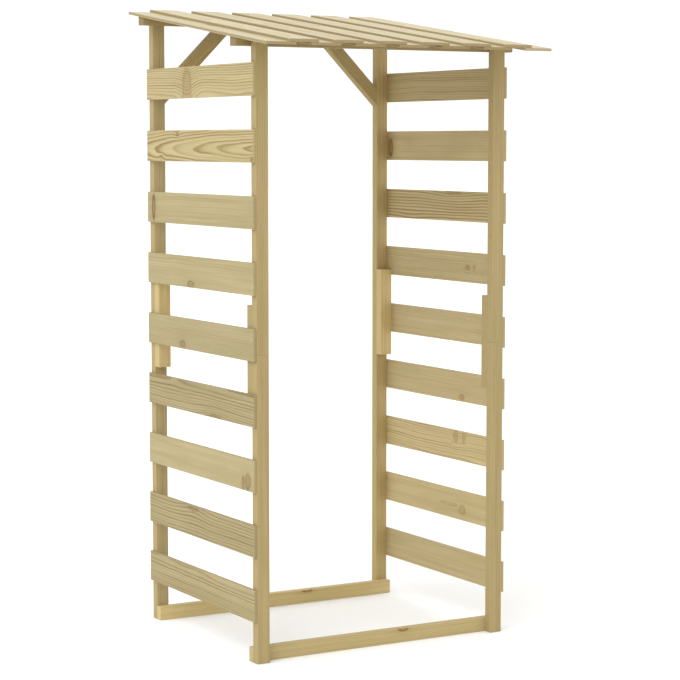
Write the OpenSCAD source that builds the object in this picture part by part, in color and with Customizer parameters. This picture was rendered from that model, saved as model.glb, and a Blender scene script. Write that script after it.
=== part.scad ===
// Free-standing roofed pergola in softwood: an open front and back, slatted
// sides, and a lean-to roof of overlapping boards that falls to the front.
// Millimetres, +Z up, +X to the right, +Y to the back. The origin is on the
// ground, at the middle of the whole part's outline.

/* [Frame] */
// Width over the outer faces of the posts
frame_w = 888; // [700:2:1400]
// Depth over the outer faces of the posts
frame_d = 746; // [600:2:1000]
// Height of the front posts
front_post_h = 1880; // [1840:10:2000]
// Height of the back posts, which gives the roof its fall
back_post_h = 1980; // [1940:10:2200]
// Post width, across the front
post_w = 42; // [34:1:60]
// Post depth, front to back
post_d = 30; // [24:1:45]

/* [Splices] */
// Length of the cleat behind each post's joint
cleat_l = 296; // [200:2:400]
// Thickness of the cleat
cleat_t = 30; // [20:1:45]

/* [Rails] */
// Height of the base rails, which stand on edge on the ground
base_rail_h = 45; // [35:1:60]
// Thickness of the base rails
base_rail_t = 25; // [18:1:40]
// Height of a head rail at its front edge
head_rail_h = 24; // [20:1:40]
// Depth of a head rail, front to back
head_rail_d = 38; // [28:1:50]
// How far a head rail runs past the posts at each end
head_rail_overhang = 50; // [0:5:100]

/* [Braces] */
// Width of a brace, square to its length
brace_w = 42; // [34:1:60]
// Height of a brace's lower corner on the post
brace_z = 1700; // [1600:10:1760]

/* [Boards] */
// Width of every slat and roof board
board_w = 98.5; // [80:0.5:110]
// Thickness of every slat and roof board
board_t = 9; // [7:0.5:16]

/* [Side slats] */
// Slats on each side
slat_count = 9; // [4:1:9]
// Spacing of the slats, centre to centre
slat_pitch = 198; // [130:1:198]
// Underside of the lowest slat
first_slat_z = 129; // [60:1:140]

/* [Roof] */
// Width of the roof over its outer boards
roof_w = 1000; // [940:10:1500]
// Length of a roof board, down the slope
roof_l = 964; // [900:1:1300]
// How far the roof runs out past the front posts
front_eave = 174; // [60:1:200]
// Boards in the lower layer; the upper layer has one fewer
under_count = 7; // [6:1:8]

/* [Hidden] */
LEFT = -1;
RIGHT = 1;
OVER_COUNT = under_count - 1;

// The roof rests on the front top edges of the front and back posts.
roof_angle = atan((back_post_h - front_post_h) / (frame_d - post_d));
outline_d = roof_l * cos(roof_angle) + 2 * board_t * sin(roof_angle);
roof_pitch = (roof_w - board_w) / OVER_COUNT;

// Front faces of the posts, counted from the middle of the outline.
front_y = front_eave + 2 * board_t * sin(roof_angle) - outline_d / 2;
back_y = front_y + frame_d - post_d;

// Inner side of a post, and the end of a head rail, counted from the middle.
post_x = frame_w / 2 - post_w;
head_rail_x = frame_w / 2 + head_rail_overhang;

PINE = [0.80, 0.74, 0.55];
PINE_LIGHT = [0.87, 0.82, 0.66];
PINE_DARK = [0.68, 0.58, 0.40];

// Height of the underside of the roof at a distance y from the middle.
function roof_z(y) = front_post_h + (y - front_y) * tan(roof_angle);

// Left edge of a post or cleat.
function left_edge(side) = side * (frame_w - post_w) / 2 - post_w / 2;

// Half a post, sawn square at both ends. Its two halves are equally long and
// meet end to end.
module post_half(side, y, post_h, half)
    color(PINE_DARK)
        translate([left_edge(side), y, half * post_h / 2])
            cube([post_w, post_d, post_h / 2]);

// A cleat laps the joint of its post on the side that faces into the part.
module cleat(side, y, post_h)
    color(PINE_DARK)
        translate([left_edge(side), y, (post_h - cleat_l) / 2])
            cube([post_w, cleat_t, cleat_l]);

// A base rail joins the two posts of one frame at the ground.
module base_rail(y)
    color(PINE)
        translate([-frame_w / 2, y, 0])
            cube([frame_w, base_rail_t, base_rail_h]);

// A head rail lies flat against its posts and carries the roof boards. Its top
// is planed to the slope of the roof.
module head_rail(y) {
    bottom_z = roof_z(y) - head_rail_h;
    section = [
        [0, 0],
        [head_rail_d, 0],
        [head_rail_d, head_rail_h + head_rail_d * tan(roof_angle)],
        [0, head_rail_h]
    ];
    color(PINE)
        translate([-head_rail_x, y, bottom_z])
            rotate([90, 0, 90])
                linear_extrude(height = 2 * head_rail_x)
                    polygon(section);
}

// A brace rises at 45 degrees between a back post and the back head rail. Its
// foot is cut to the post's side and its top is level with the post's.
module brace(side) {
    edge = brace_w * sqrt(2);
    rise = back_post_h - brace_z;
    outline = [
        [post_x, brace_z],
        [post_x, brace_z + edge],
        [post_x + edge - rise, back_post_h],
        [post_x - rise, back_post_h]
    ];
    color(PINE_DARK)
        translate([0, back_y + post_d, 0])
            rotate([90, 0, 0])
                linear_extrude(height = post_d)
                    polygon([for (p = outline) [side * p[0], p[1]]]);
}

// A slat runs the whole depth of the frame, on the outer faces of its posts.
// Slats are counted from the ground up.
module slat(side, i)
    color(PINE)
        translate([
            side * (frame_w + board_t) / 2 - board_t / 2,
            front_y,
            first_slat_z + (i - 1) * slat_pitch
        ])
            cube([board_t, frame_d, board_w]);

// A roof board lies down the slope. Layer 0 rests on the rails, and layer 1
// lies on it, over the gaps. Boards are counted from the left.
module roof_board(i, layer)
    color(PINE_LIGHT)
        translate([
            (i - 1 + layer / 2) * roof_pitch - roof_w / 2,
            front_y - front_eave,
            roof_z(front_y - front_eave)
        ])
            rotate([roof_angle, 0, 0])
                translate([0, 0, layer * board_t])
                    cube([board_w, roof_l, board_t]);

// Posts, each in two halves.
post_half(LEFT, front_y, front_post_h, 0);  // front_left_post_lower
post_half(LEFT, front_y, front_post_h, 1);  // front_left_post_upper
post_half(RIGHT, front_y, front_post_h, 0);  // front_right_post_lower
post_half(RIGHT, front_y, front_post_h, 1);  // front_right_post_upper
post_half(LEFT, back_y, back_post_h, 0);  // back_left_post_lower
post_half(LEFT, back_y, back_post_h, 1);  // back_left_post_upper
post_half(RIGHT, back_y, back_post_h, 0);  // back_right_post_lower
post_half(RIGHT, back_y, back_post_h, 1);  // back_right_post_upper

// Cleats across the joints.
cleat(LEFT, front_y + post_d, front_post_h);  // front_left_cleat
cleat(RIGHT, front_y + post_d, front_post_h);  // front_right_cleat
cleat(LEFT, back_y - cleat_t, back_post_h);  // back_left_cleat
cleat(RIGHT, back_y - cleat_t, back_post_h);  // back_right_cleat

// Rails, on the sides of the posts that face into the part.
base_rail(front_y + post_d);  // front_base_rail
base_rail(back_y - base_rail_t);  // back_base_rail
head_rail(front_y + post_d);  // front_head_rail
head_rail(back_y - head_rail_d);  // back_head_rail

// Braces of the back frame.
brace(LEFT);  // left_brace
brace(RIGHT);  // right_brace

// Side slats.
for (i = [1:slat_count]) {
    slat(LEFT, i);
    slat(RIGHT, i);
}

// Roof boards.
for (i = [1:under_count])
    roof_board(i, 0);
for (i = [1:OVER_COUNT])
    roof_board(i, 1);
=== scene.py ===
"""A lean-to pergola of planed pine: four jointed posts, slatted sides and a roof of lapped boards."""
import math
import random

import bpy
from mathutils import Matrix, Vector


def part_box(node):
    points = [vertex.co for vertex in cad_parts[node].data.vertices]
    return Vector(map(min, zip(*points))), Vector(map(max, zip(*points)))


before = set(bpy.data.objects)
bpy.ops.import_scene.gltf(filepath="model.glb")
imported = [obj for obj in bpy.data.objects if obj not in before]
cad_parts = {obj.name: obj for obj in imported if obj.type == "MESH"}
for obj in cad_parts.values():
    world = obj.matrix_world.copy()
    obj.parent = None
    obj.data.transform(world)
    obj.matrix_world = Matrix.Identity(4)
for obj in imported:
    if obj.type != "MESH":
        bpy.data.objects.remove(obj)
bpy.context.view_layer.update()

# --- Posts ------------------------------------------------------------------------------------
# Four posts of planed, pressure-impregnated pine, each in two lengths butted end to end at
# waist height. The impregnation leaves the sapwood a pale khaki with a trace of green.

RING_SWAY = 0.011
WIDEST_SWING = 0.014
EDGE_RADIUS = 0.0012
X_AXIS, Y_AXIS, Z_AXIS = 0, 1, 2
TAN_PINE = (0.360, 0.275, 0.122)
draw = random.Random(11)


class Wire:
    """One output socket of a material. Arithmetic written with it adds Math nodes."""

    def __init__(self, tree, socket=None):
        self.tree = tree
        self.socket = socket

    def node(self, kind, settings, sockets, output=0):
        """Adds a node: its settings first, then the values or wires of its sockets."""
        added = self.tree.nodes.new(kind)
        for setting, value in settings.items():
            setattr(added, setting, value)
        for place, value in sockets.items():
            if isinstance(value, Wire):
                self.tree.links.new(value.socket, added.inputs[place])
            else:
                added.inputs[place].default_value = value
        return Wire(self.tree, added.outputs[output])

    def math(self, operation, *others):
        """This value put through one Math operation, with the other values it needs."""
        return self.node("ShaderNodeMath", {"operation": operation}, dict(enumerate((self, *others))))

    def __add__(self, other):
        return self.math("ADD", other)

    __radd__ = __add__

    def __sub__(self, other):
        return self.math("SUBTRACT", other)

    def __rsub__(self, other):
        return self * -1.0 + other

    def __mul__(self, other):
        return self.math("MULTIPLY", other)

    __rmul__ = __mul__

    def __truediv__(self, other):
        return self.math("DIVIDE", other)

    def __pow__(self, power):
        return self.math("POWER", power)

    def fade(self, start, full):
        """0 up to start, 1 from full on and smooth in between. Start may be the larger."""
        settings = {"interpolation_type": "SMOOTHSTEP"}
        return self.node("ShaderNodeMapRange", settings, {0: self, 1: start, 2: full})

    def lumps(self, per_metre, seed, detail):
        """Soft noise from 0 to 1 at this point, with so many lumps to a metre each way."""
        point = self.node("ShaderNodeVectorMath", {"operation": "MULTIPLY"}, {0: self, 1: per_metre})
        sockets = {"Vector": point, "W": seed, "Scale": 1.0, "Detail": detail}
        return self.node("ShaderNodeTexNoise", {"noise_dimensions": "4D"}, sockets)

    def tinted(self, colour, amount):
        """This colour turned towards another, by an amount from 0 to 1."""
        return self.node("ShaderNodeMix", {"data_type": "RGBA"}, {0: amount, 6: self, 7: colour}, 2)


def stained(colour, red, green, blue):
    """A colour with each of its three parts taken up or down."""
    return (colour[0] * red, colour[1] * green, colour[2] * blue, 1.0)


def pine(name, tone, sawn_and_shade, centre, turn, axes, half, pith, lean, pitch, bold, seed, knots):
    """Planed pine with growth rings about a pith line that leans and wanders along the board.

    axes are the board's directions along the grain, across its face and through it, and half
    is its half size each way. The third argument is how far the ends and the narrow sides are
    darker than the faces: the darker cut wood, and on the roof boards, where it is set high,
    also painted shade on their shadowed sides and ends. A knot is its place along and across,
    its two radii and how dark it is.
    """
    material = bpy.data.materials.new("pine_" + name)
    material.use_nodes = True
    tree = material.node_tree
    shader = tree.nodes["Principled BSDF"]

    place = Wire(tree).node("ShaderNodeTexCoord", {}, {}, 3)
    sockets = {"Vector": place, "Location": centre, "Rotation": turn}
    own = place.node("ShaderNodeMapping", {"vector_type": "TEXTURE"}, sockets)
    along, across, through = [own.node("ShaderNodeSeparateXYZ", {}, {0: own}, axis) for axis in axes]
    point = along.node("ShaderNodeCombineXYZ", {}, {0: along, 1: across, 2: through})

    # The rings, whose centre sways slowly along the board, and which swing round each knot.
    drift = along * 2.3
    sway = [drift.node("ShaderNodeTexNoise", {"noise_dimensions": "1D"},
                       {"W": drift + start, "Scale": 1.0, "Detail": 1.0})
            for start in (seed, seed + 31.0)]
    sideways = across - pith[0] + (sway[0] - 0.5) * RING_SWAY
    depth = through - pith[1] - along * lean + (sway[1] - 0.5) * RING_SWAY
    reach = (sideways * sideways + depth * depth).math("SQRT")
    reach = reach + (point.lumps((9.0, 45.0, 45.0), seed, 2.0) - 0.5) * 0.0045
    ragged = (point.lumps((30.0, 70.0, 70.0), seed + 3.0, 2.0) - 0.5) * 1.6
    core = along * 0.0
    rim = core
    halo = core
    for knot_along, knot_across, knot_long, knot_high, darkness in knots:
        beside = (along - knot_along) / knot_long
        above = (across - knot_across) / knot_high
        far = beside * beside + above * above
        nearness = (far * -0.20).math("EXPONENT")
        reach = reach + nearness * min(knot_long, knot_high, WIDEST_SWING)
        halo = halo.math("MAXIMUM", nearness * darkness)
        far = far + ragged * far.math("MINIMUM", 1.0)
        core = core.math("MAXIMUM", far.fade(1.6, 0.1) * darkness)
        rim = rim.math("MAXIMUM", far.fade(0.30, 0.9) * far.fade(1.8, 1.0) * darkness)
    phase = reach / pitch
    ring = phase.math("FRACT")
    number = phase.math("FLOOR") + seed
    luck = number.node("ShaderNodeTexWhiteNoise", {"noise_dimensions": "1D"}, {"W": number})
    late = ring ** 3.2 * ring.fade(1.0, 0.84) * (luck * 1.5 + 0.6)

    # Fibres, longer streaks along the grain, and broad clouds of colour.
    fibres = point.lumps((12.0, 900.0, 900.0), seed, 3.0)
    streaks = point.lumps((2.0, 75.0, 75.0), seed + 5.0, 4.0)
    clouds = point.lumps((4.0, 16.0, 16.0), seed + 9.0, 2.0)

    lines = late * bold + (streaks - 0.5) * 0.9 + (fibres - 0.5) * 0.35 + halo * 0.22 + 0.10
    pale = stained(tone, 1.07, 1.08, 1.11)
    gold = stained(tone, 0.56, 0.46, 0.30)
    settings = {"data_type": "RGBA"}
    colour = lines.node("ShaderNodeMix", settings, {0: lines, 6: pale, 7: gold}, 2)
    colour = colour.tinted(stained(tone, 0.86, 0.88, 0.78), clouds.fade(0.42, 0.72) * 0.5)
    colour = colour.tinted(stained(tone, 0.62, 0.48, 0.30), core * 0.7)
    rim_strength = clouds.fade(0.35, 0.6) * 0.5 + streaks * 0.6
    colour = colour.tinted(stained(tone, 0.42, 0.30, 0.18), rim * rim_strength)
    cut_end = along.math("ABSOLUTE").fade(half[0] - 0.003, half[0] - 0.0005)
    cut_side = across.math("ABSOLUTE").fade(half[1] - 0.0012, half[1] - 0.0004)
    # On the roof boards, where it is set high, this darkening is partly painted shade standing in for
    # the shadow on their narrow sides and ends.
    cut_and_shade_tone = stained(tone, 1.0 - 0.50 * sawn_and_shade, 1.0 - 0.58 * sawn_and_shade, 1.0 - 0.70 * sawn_and_shade)
    colour = colour.tinted(cut_and_shade_tone, cut_end.math("MAXIMUM", cut_side) * (fibres * 0.4 + 0.7))
    # The eased long edges are painted a little paler.
    side = across.math("ABSOLUTE").fade(half[1] - 0.003, half[1] - 0.0004)
    face = through.math("ABSOLUTE").fade(half[2] - 0.003, half[2] - 0.0004)
    colour = colour.tinted(stained(tone, 1.12, 1.12, 1.12), side * face * 0.4)

    rough = fibres * 0.16 + 0.60 - late * 0.10 - core * 0.12
    height = fibres * 0.5 + streaks * 0.4 + late * 0.6 + core * 0.4
    relief = height.node("ShaderNodeBump", {}, {"Strength": 0.4, "Distance": 0.0008, "Height": height})
    tree.links.new(colour.socket, shader.inputs["Base Color"])
    tree.links.new(rough.socket, shader.inputs["Roughness"])
    tree.links.new(relief.socket, shader.inputs["Normal"])
    shader.inputs["Specular IOR Level"].default_value = 0.30
    return material


def finish_board(name, tone, axes, pith=None, lean=None, bold=None, pitch=0.0065, knots=(), sawn_and_shade=0.4,
                 turn=(0, 0, 0), half=None):
    """Gives a piece its own grain, and eases the edges the saw left as a planer's knives do."""
    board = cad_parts[name]
    low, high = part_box(name)
    centre = (low + high) / 2
    if half is None:
        size = (high - low) / 2
        half = [size[axis] for axis in axes]
    side = draw.choice((-1, 1))
    random_pith = (draw.uniform(-0.5, 0.5) * half[1], side * draw.uniform(0.018, 0.050))
    random_lean = draw.uniform(-0.030, 0.030)
    random_bold = draw.uniform(0.35, 0.75)
    seed = draw.uniform(0.0, 90.0)
    material = pine(name, tone, sawn_and_shade, centre, turn, axes, half,
                    random_pith if pith is None else pith,
                    random_lean if lean is None else lean, pitch,
                    random_bold if bold is None else bold, seed, knots)
    board.material_slots[0].material = material
    weld = board.modifiers.new("weld", "WELD")
    weld.merge_threshold = 0.0001
    ease = board.modifiers.new("eased_edges", "BEVEL")
    ease.width = min(EDGE_RADIUS, half[2] * 0.3)
    ease.segments = 2
    ease.limit_method = "ANGLE"
    board.modifiers.new("flat_faces", "WEIGHTED_NORMAL")


def stray_knots(half, count, largest):
    """A few small knots at places drawn by lot, clear of the ends."""
    knots = []
    for _ in range(count):
        radius = draw.uniform(0.5, 1.0) * largest
        place = draw.uniform(-0.8, 0.8) * half[0]
        knots.append((place, draw.uniform(-0.8, 0.8) * half[1], radius * 1.4, radius, 0.7))
    return knots


POST_AXES = (Z_AXIS, X_AXIS, Y_AXIS)
# The back posts are painted lighter than the front ones, the right one most: painted light standing in
# for light on their shaded fronts.
POST_TONES_PAINTED_LIGHT = {
    "front_left": TAN_PINE,
    "front_right": TAN_PINE,
    "back_left": stained(TAN_PINE, 1.02, 1.03, 1.08),
    "back_right": stained(TAN_PINE, 1.18, 1.15, 1.10),
}
STRAIGHT_GRAIN = {"pith": (0.070, 0.034), "lean": 0.004, "bold": 0.45, "pitch": 0.0050}
for corner, tone in POST_TONES_PAINTED_LIGHT.items():
    for length in ("lower", "upper"):
        finish_board(f"{corner}_post_{length}", tone, POST_AXES, sawn_and_shade=0.0, **STRAIGHT_GRAIN)

# --- Cleats -----------------------------------------------------------------------------------
# Short lengths of the same post stock, screwed behind each post across the joint of its two
# lengths, so that the post stands as one.
# The back cleats are painted far lighter than the front ones, though all are the same stock: painted
# light standing in for light on them in the shade of the frame.
CLEAT_SHADES_PAINTED_LIGHT = {"front_left": 0.94, "front_right": 0.98, "back_left": 1.34, "back_right": 1.44}
for corner, shade in CLEAT_SHADES_PAINTED_LIGHT.items():
    tone = stained(TAN_PINE, shade, shade, shade)
    finish_board(f"{corner}_cleat", tone, POST_AXES, sawn_and_shade=0.0, **STRAIGHT_GRAIN)

# --- Base rails -------------------------------------------------------------------------------
# A planed rail on edge ties the two posts of each end together at the ground. It lies against
# their inner faces, with its ends flush with their outer sides, and is screwed to them.
RAIL_PINE = (0.440, 0.348, 0.160)
RAIL_AXES = (X_AXIS, Z_AXIS, Y_AXIS)
finish_board("front_base_rail", RAIL_PINE, RAIL_AXES, sawn_and_shade=0.0,
             knots=[(0.092, 0.019, 0.014, 0.006, 2.0)], **STRAIGHT_GRAIN)
# The back rail is painted lighter than the front one: painted light standing in for light on its
# shaded face.
finish_board("back_base_rail", stained(RAIL_PINE, 1.18, 1.18, 1.18), RAIL_AXES, sawn_and_shade=0.0,
             knots=[(0.112, 0.019, 0.016, 0.005, 2.0)], **STRAIGHT_GRAIN)

# --- Head rails -------------------------------------------------------------------------------
# The rails that carry the roof run behind the posts' tops and past them at both ends. Their
# upper sides are planed to the roof's slope.
# The head rails are painted darker than the base rails: painted shade standing in for the shadow under
# the roof's overhang.
HEAD_PINE_PAINTED_SHADE = stained(RAIL_PINE, 0.69, 0.64, 0.58)
for name in ("front_head_rail", "back_head_rail"):
    finish_board(name, HEAD_PINE_PAINTED_SHADE, RAIL_AXES, knots=stray_knots((0.47, 0.01), 2, 0.005))

# --- Corner braces ----------------------------------------------------------------------------
# Two braces at 45 degrees stiffen the back end. They are planed battens, with their ends
# mitred to lie against the posts and the head rail.
BRACE_HALF = (0.22, 0.021, 0.015)
for name, slope in (("left_brace", -45), ("right_brace", 45)):
    finish_board(name, stained(TAN_PINE, 1.06, 1.06, 1.02), (X_AXIS, Z_AXIS, Y_AXIS),
                 turn=(0, math.radians(slope), 0), half=BRACE_HALF)

# --- Side slats -------------------------------------------------------------------------------
# Nine thin planed boards on the outside of each side, nailed to the posts. They are sawn from
# different logs: some are plain, some carry the arched figure of a board cut near the bark.
SLAT_AXES = (Y_AXIS, Z_AXIS, X_AXIS)
SLAT_PINE = (0.395, 0.324, 0.165)
# From the ground up: shade, pith across and through, lean, ring pitch, boldness and knots.
LEFT_SLATS = [
    (0.91, (0.050, 0.034), 0.010, 0.0070, 0.95, []),
    (0.87, (0.075, 0.020), 0.012, 0.0095, 1.05, [(0.045, 0.064, 0.040, 0.030, 0.6)]),
    (0.97, (0.060, 0.060), 0.002, 0.0050, 0.12,
     [(-0.300, -0.030, 0.007, 0.022, 0.9), (-0.330, -0.020, 0.016, 0.022, 0.8)]),
    (0.87, (0.048, 0.030), 0.012, 0.0080, 1.05, [(-0.112, -0.066, 0.048, 0.026, 0.5)]),
    (0.89, (0.080, 0.060), 0.002, 0.0060, 0.28, [(0.116, -0.034, 0.018, 0.010, 0.8)]),
    (0.96, (0.075, 0.060), 0.002, 0.0060, 0.28, [(0.055, -0.038, 0.020, 0.010, 0.8)]),
    (0.95, (-0.070, 0.080), 0.003, 0.0065, 0.20, [(0.326, 0.000, 0.011, 0.036, 1.6)]),
    (1.15, (-0.009, 0.030), 0.045, 0.0072, 1.50,
     [(0.145, 0.036, 0.009, 0.005, 1.2), (0.265, -0.035, 0.008, 0.005, 1.3),
      (-0.366, -0.043, 0.008, 0.007, 1.4)]),
    (1.10, (-0.052, 0.030), -0.004, 0.0066, 1.00, [(0.074, -0.018, 0.028, 0.058, 0.55)]),
]
RIGHT_SLATS = [
    (1.04, (0.075, -0.060), 0.003, 0.0060, 0.30, []),
    (1.14, (0.070, -0.050), 0.004, 0.0065, 0.32,
     [(-0.060, -0.004, 0.050, 0.005, 0.45), (-0.140, -0.016, 0.018, 0.014, 0.5)]),
    (1.20, (-0.050, -0.024), 0.012, 0.0080, 0.90,
     [(-0.100, 0.030, 0.012, 0.020, 0.5), (-0.148, 0.030, 0.008, 0.016, 0.5)]),
    (1.07, (0.080, -0.050), 0.003, 0.0065, 0.32, [(-0.136, -0.035, 0.014, 0.009, 0.7)]),
    (1.04, (-0.080, -0.050), 0.003, 0.0065, 0.30, []),
    (1.00, (0.070, -0.040), -0.006, 0.0070, 0.42,
     [(-0.166, 0.000, 0.012, 0.008, 0.8), (-0.205, 0.002, 0.006, 0.007, 0.6)]),
    (1.06, (-0.085, -0.012), 0.034, 0.0100, 1.60,
     [(-0.080, 0.068, 0.060, 0.026, 0.5), (0.180, -0.072, 0.050, 0.020, 0.5)]),
    (1.07, (-0.070, -0.040), 0.006, 0.0080, 0.36, [(0.320, -0.008, 0.013, 0.024, 2.6)]),
    (1.02, (-0.080, -0.040), 0.004, 0.0070, 0.75, []),
]
# The right slats are painted warmer and a little lighter than the left: painted light standing in for
# the warm light bounced about inside the frame onto their inner faces.
PAINTED_BOUNCE_LIGHT = {"left": (1.0, 1.0, 1.0), "right": (1.07, 1.04, 1.04)}
for side, slats in (("left", LEFT_SLATS), ("right", RIGHT_SLATS)):
    for number, (shade, pith, lean, pitch, bold, knots) in enumerate(slats, start=1):
        tone = stained(SLAT_PINE, *[shade * part for part in PAINTED_BOUNCE_LIGHT[side]])
        finish_board(f"{side}_slat_{number}", tone, SLAT_AXES, pith, lean, bold, pitch, knots)

# --- Roof boards ------------------------------------------------------------------------------
# Seven boards are nailed down the slope with gaps between them, and six more lie over the
# gaps. The thin, pale sapwood boards are the same stock as the slats.
ROOF_PINE = (0.560, 0.490, 0.325)
front_rail_low, front_rail_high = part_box("front_head_rail")
back_rail_low, back_rail_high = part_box("back_head_rail")
ROOF_SLOPE = math.atan((back_rail_high.z - front_rail_high.z) / (back_rail_high.y - front_rail_high.y))
ROOF_HALF = (0.482, 0.04925, 0.0045)
# How dark the ends and narrow sides of each board are, from left to right: partly the
# darker cut wood, partly painted shade standing in for the shadow on them.
ROOF_CUT_AND_SHADE_DARKNESS = {"under": (1.0, 1.0, 1.07, 1.08, 1.18, 1.09, 0.70), "over": (1.0,) * 6}
for layer, ends in ROOF_CUT_AND_SHADE_DARKNESS.items():
    for number, sawn_and_shade in enumerate(ends, start=1):
        shade = draw.uniform(0.96, 1.04)
        finish_board(f"{layer}_board_{number}", stained(ROOF_PINE, shade, shade, shade),
                     (Y_AXIS, X_AXIS, Z_AXIS), turn=(ROOF_SLOPE, 0, 0), half=ROOF_HALF,
                     knots=stray_knots(ROOF_HALF, draw.choice((0, 1, 2)), 0.008), sawn_and_shade=sawn_and_shade)

# --- Floor, light and camera ------------------------------------------------------------------
# A plain white studio: a wide floor, even light from all round and one large soft light high
# on the left.
FLOOR_SIZE = 120.0
bpy.ops.mesh.primitive_plane_add(size=FLOOR_SIZE, location=(0, 0, -0.0005))
floor = bpy.context.object
floor.name = "studio_floor"
floor_finish = bpy.data.materials.new("white_floor")
floor_finish.use_nodes = True
floor_shader = floor_finish.node_tree.nodes["Principled BSDF"]
floor_shader.inputs["Base Color"].default_value = (0.92, 0.92, 0.92, 1)
floor_shader.inputs["Roughness"].default_value = 0.9
floor_shader.inputs["Specular IOR Level"].default_value = 0.0
floor.data.materials.append(floor_finish)

scene = bpy.context.scene
scene.view_settings.view_transform = "Standard"
world = bpy.data.worlds.new("studio")
world.use_nodes = True
world.node_tree.nodes["Background"].inputs["Color"].default_value = (1.0, 1.0, 1.0, 1)
world.node_tree.nodes["Background"].inputs["Strength"].default_value = 1.12
scene.world = world

key = bpy.data.lights.new("key_light", "SUN")
key.energy = 1.3
key.angle = math.radians(50)
key.color = (0.97, 0.99, 1.0)
key_light = bpy.data.objects.new("key_light", key)
key_light.rotation_euler = Vector((1.0, 0.50, -0.9)).to_track_quat("-Z", "Y").to_euler()
scene.collection.objects.link(key_light)

CAMERA_PLACE = (-3.387, -5.919, 1.572)
CAMERA_TURN = math.radians(29.906)
CAMERA_DIP = math.radians(5.272)
lens = bpy.data.cameras.new("camera")
lens.lens = 112.79
lens.sensor_width = 36.0
camera = bpy.data.objects.new("camera", lens)
camera.location = CAMERA_PLACE
camera.rotation_euler = (math.pi / 2 - CAMERA_DIP, 0, -CAMERA_TURN)
scene.collection.objects.link(camera)
scene.camera = camera
